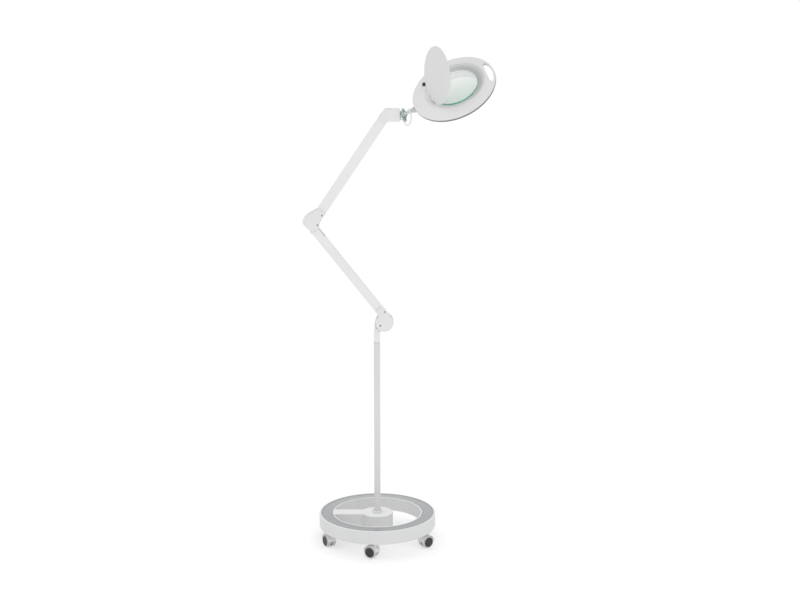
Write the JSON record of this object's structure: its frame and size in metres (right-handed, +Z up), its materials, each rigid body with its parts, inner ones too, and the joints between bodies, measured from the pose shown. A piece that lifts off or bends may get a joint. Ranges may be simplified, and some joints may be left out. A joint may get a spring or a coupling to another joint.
{
  "type": "magnifying floor lamp",
  "caption": "Magnifying floor lamp on a wheeled ring base, with a pole, spring-balanced folding arms and a round lit lens head with a hinged lid.",
  "frame": {"origin": "on the floor under the pole's axis", "axes": "+Z up along the pole, +X towards the side the head reaches to, -Y towards the front"},
  "size_m": [0.5462, 0.3567, 1.4575],
  "materials": {
    "moulded_white": "semi-gloss moulded shell, fine texture",
    "painted_white": "white powder coat, satin",
    "tread_grey": "glossy grey insert",
    "bare_steel": "zinc plated",
    "ballast_iron": "raw casting",
    "caster_grey": "light grey moulding",
    "wheel_grey": "light tread with dark side discs",
    "bush_white": "nylon",
    "black_plastic": "black",
    "chrome": "bright plated",
    "rim_grey": "grey-green band",
    "socket_grey": "grey",
    "lens_glass": "polished crown glass, green edge",
    "board_white": "white circuit board with lamps",
    "diffuser": "opal",
    "cable_white": "white sheath"
  },
  "bodies": {
    "base": {"base_cover": "moulded_white", "base_tread_ring": "tread_grey", "base_ballast_ring": "ballast_iron", "base_bottom_plate": "bare_steel", "hub_socket": "bare_steel", "hub_collar": "moulded_white", "pole_tube": "painted_white", "pole_top_bush": "bush_white"},
    "caster_1": {"caster_1_housing": "caster_grey"},
    "caster_1_left_wheel": {"caster_1_wheel_left": "wheel_grey"},
    "caster_1_right_wheel": {"caster_1_wheel_right": "wheel_grey"},
    "caster_2": {"caster_2_housing": "caster_grey"},
    "caster_2_left_wheel": {"caster_2_wheel_left": "wheel_grey"},
    "caster_2_right_wheel": {"caster_2_wheel_right": "wheel_grey"},
    "caster_3": {"caster_3_housing": "caster_grey"},
    "caster_3_left_wheel": {"caster_3_wheel_left": "wheel_grey"},
    "caster_3_right_wheel": {"caster_3_wheel_right": "wheel_grey"},
    "caster_4": {"caster_4_housing": "caster_grey"},
    "caster_4_left_wheel": {"caster_4_wheel_left": "wheel_grey"},
    "caster_4_right_wheel": {"caster_4_wheel_right": "wheel_grey"},
    "caster_5": {"caster_5_housing": "caster_grey"},
    "caster_5_left_wheel": {"caster_5_wheel_left": "wheel_grey"},
    "caster_5_right_wheel": {"caster_5_wheel_right": "wheel_grey"},
    "caster_6": {"caster_6_housing": "caster_grey"},
    "caster_6_left_wheel": {"caster_6_wheel_left": "wheel_grey"},
    "caster_6_right_wheel": {"caster_6_wheel_right": "wheel_grey"},
    "knuckle": {"knuckle_bracket": "painted_white", "lower_pivot_bolt": "bare_steel", "cord_grommet": "black_plastic"},
    "lower_arm": {"lower_arm_channel": "painted_white", "lower_joint_cover_front": "moulded_white", "lower_joint_cover_back": "moulded_white", "lower_arm_spring": "bare_steel"},
    "lower_link": {"lower_arm_link": "bare_steel"},
    "elbow": {"elbow_bracket": "painted_white", "elbow_bolt_lower": "bare_steel", "elbow_bolt_upper": "bare_steel", "elbow_cover_front": "moulded_white", "elbow_cover_back": "moulded_white"},
    "upper_arm": {"upper_arm_channel": "painted_white", "upper_arm_spring": "bare_steel"},
    "upper_link": {"upper_arm_link": "bare_steel"},
    "wrist": {"wrist_block": "painted_white", "wrist_pivot_bolt": "bare_steel", "wrist_cover_front": "moulded_white", "wrist_cover_back": "moulded_white"},
    "clamp_screw": {"wing_bolt": "chrome"},
    "neck": {"neck_rod": "painted_white", "neck_cable": "cable_white"},
    "head": {"head_upper_shell": "moulded_white", "head_lower_shell": "moulded_white", "rim_trim": "rim_grey", "lens": "lens_glass", "lens_retaining_ring": "moulded_white", "led_ring_board": "board_white", "diffuser_ring": "diffuser", "head_socket": "socket_grey", "lid_hinge_bracket": "moulded_white"},
    "rocker": {"switch_rocker": "black_plastic"},
    "lid": {"lens_lid": "moulded_white"}
  },
  "joints": [
    {"name": "caster_1_swivel", "type": "hinge", "parent": "base", "child": "caster_1", "pos_m": [-0.00474, -0.15093, 0.0455], "axis": [0, 0, 1], "continuous": true},
    {"name": "caster_1_left_roll", "type": "hinge", "parent": "caster_1", "child": "caster_1_left_wheel", "pos_m": [-0.01446, -0.14576, 0.018], "axis": [-0.4695, -0.8829, 0], "continuous": true},
    {"name": "caster_1_right_roll", "type": "hinge", "parent": "caster_1", "child": "caster_1_right_wheel", "pos_m": [-0.01446, -0.14576, 0.018], "axis": [-0.4695, -0.8829, 0], "continuous": true},
    {"name": "caster_2_swivel", "type": "hinge", "parent": "base", "child": "caster_2", "pos_m": [0.13454, -0.06855, 0.0455], "axis": [0, 0, 1], "continuous": true},
    {"name": "caster_2_left_roll", "type": "hinge", "parent": "caster_2", "child": "caster_2_left_wheel", "pos_m": [0.14344, -0.06209, 0.018], "axis": [-0.5878, 0.809, 0], "continuous": true},
    {"name": "caster_2_right_roll", "type": "hinge", "parent": "caster_2", "child": "caster_2_right_wheel", "pos_m": [0.14344, -0.06209, 0.018], "axis": [-0.5878, 0.809, 0], "continuous": true},
    {"name": "caster_3_swivel", "type": "hinge", "parent": "base", "child": "caster_3", "pos_m": [0.13454, 0.06855, 0.0455], "axis": [0, 0, 1], "continuous": true},
    {"name": "caster_3_left_roll", "type": "hinge", "parent": "caster_3", "child": "caster_3_left_wheel", "pos_m": [0.14407, 0.07405, 0.018], "axis": [-0.5, 0.866, 0], "continuous": true},
    {"name": "caster_3_right_roll", "type": "hinge", "parent": "caster_3", "child": "caster_3_right_wheel", "pos_m": [0.14407, 0.07405, 0.018], "axis": [-0.5, 0.866, 0], "continuous": true},
    {"name": "caster_4_swivel", "type": "hinge", "parent": "base", "child": "caster_4", "pos_m": [0.00474, 0.15093, 0.0455], "axis": [0, 0, 1], "continuous": true},
    {"name": "caster_4_left_roll", "type": "hinge", "parent": "caster_4", "child": "caster_4_left_wheel", "pos_m": [0.00703, 0.16168, 0.018], "axis": [-0.9781, 0.2079, 0], "continuous": true},
    {"name": "caster_4_right_roll", "type": "hinge", "parent": "caster_4", "child": "caster_4_right_wheel", "pos_m": [0.00703, 0.16168, 0.018], "axis": [-0.9781, 0.2079, 0], "continuous": true},
    {"name": "caster_5_swivel", "type": "hinge", "parent": "base", "child": "caster_5", "pos_m": [-0.13629, 0.06501, 0.0455], "axis": [0, 0, 1], "continuous": true},
    {"name": "caster_5_left_roll", "type": "hinge", "parent": "caster_5", "child": "caster_5_left_wheel", "pos_m": [-0.14692, 0.06785, 0.018], "axis": [-0.2588, -0.9659, 0], "continuous": true},
    {"name": "caster_5_right_roll", "type": "hinge", "parent": "caster_5", "child": "caster_5_right_wheel", "pos_m": [-0.14692, 0.06785, 0.018], "axis": [-0.2588, -0.9659, 0], "continuous": true},
    {"name": "caster_6_swivel", "type": "hinge", "parent": "base", "child": "caster_6", "pos_m": [-0.13629, -0.06501, 0.0455], "axis": [0, 0, 1], "continuous": true},
    {"name": "caster_6_left_roll", "type": "hinge", "parent": "caster_6", "child": "caster_6_left_wheel", "pos_m": [-0.14179, -0.05548, 0.018], "axis": [-0.866, -0.5, 0], "continuous": true},
    {"name": "caster_6_right_roll", "type": "hinge", "parent": "caster_6", "child": "caster_6_right_wheel", "pos_m": [-0.14179, -0.05548, 0.018], "axis": [-0.866, -0.5, 0], "continuous": true},
    {"name": "arm_swivel", "type": "hinge", "parent": "base", "child": "knuckle", "pos_m": [0, 0, 0.604], "axis": [0, 0, 1], "range_deg": [-170, 170]},
    {"name": "lower_arm_tilt", "type": "hinge", "parent": "knuckle", "child": "lower_arm", "pos_m": [0.0227, 0, 0.662], "axis": [0, 1, 0], "range_deg": [-40, 42], "deforming": ["lower_arm_spring"]},
    {"name": "lower_link_swing", "type": "hinge", "parent": "knuckle", "child": "lower_link", "pos_m": [0.032, 0.0073, 0.66876], "axis": [0, 1, 0], "range_deg": [-42, 44]},
    {"name": "elbow_level", "type": "hinge", "parent": "lower_arm", "child": "elbow", "pos_m": [-0.1784, 0, 0.934], "axis": [0, 1, 0], "range_deg": [-44, 42]},
    {"name": "upper_arm_tilt", "type": "hinge", "parent": "elbow", "child": "upper_arm", "pos_m": [-0.169, 0, 0.9678], "axis": [0, 1, 0], "range_deg": [-28, 58], "deforming": ["upper_arm_spring"]},
    {"name": "upper_link_swing", "type": "hinge", "parent": "elbow", "child": "upper_link", "pos_m": [-0.17655, 0.0073, 0.97648], "axis": [0, 1, 0], "range_deg": [-30, 60]},
    {"name": "wrist_level", "type": "hinge", "parent": "upper_arm", "child": "wrist", "pos_m": [0.0285, 0, 1.2605], "axis": [0, 1, 0], "range_deg": [-60, 30]},
    {"name": "clamp_screw_turn", "type": "hinge", "parent": "wrist", "child": "clamp_screw", "pos_m": [0.0783, 0, 1.2645], "axis": [0, 1, 0], "range_deg": [-90, 90]},
    {"name": "neck_pitch", "type": "hinge", "parent": "wrist", "child": "neck", "pos_m": [0.0783, 0, 1.2645], "axis": [0, 1, 0], "range_deg": [-40, 55], "deforming": ["neck_cable"]},
    {"name": "head_roll", "type": "hinge", "parent": "neck", "child": "head", "pos_m": [0.10003, 0, 1.27468], "axis": [0.9056, 0, 0.4242], "range_deg": [-60, 50]},
    {"name": "lid_hinge", "type": "hinge", "parent": "head", "child": "lid", "pos_m": [0.15821, -0.02249, 1.30725], "axis": [0.3951, -0.8052, -0.4422], "range_deg": [-59, 30]},
    {"name": "switch_rock", "type": "hinge", "parent": "head", "child": "rocker", "pos_m": [0.138, 0.0403, 1.34049], "axis": [0.9056, 0, 0.4242], "range_deg": [-4, 4], "stiffness_Nm_per_rad": 0.02}
  ],
  "couplings": [
    {"joint": "elbow_level", "follows": "lower_arm_tilt", "ratio": -1},
    {"joint": "lower_link_swing", "follows": "lower_arm_tilt", "ratio": 1},
    {"joint": "wrist_level", "follows": "upper_arm_tilt", "ratio": -1},
    {"joint": "upper_link_swing", "follows": "upper_arm_tilt", "ratio": 1}
  ]
}
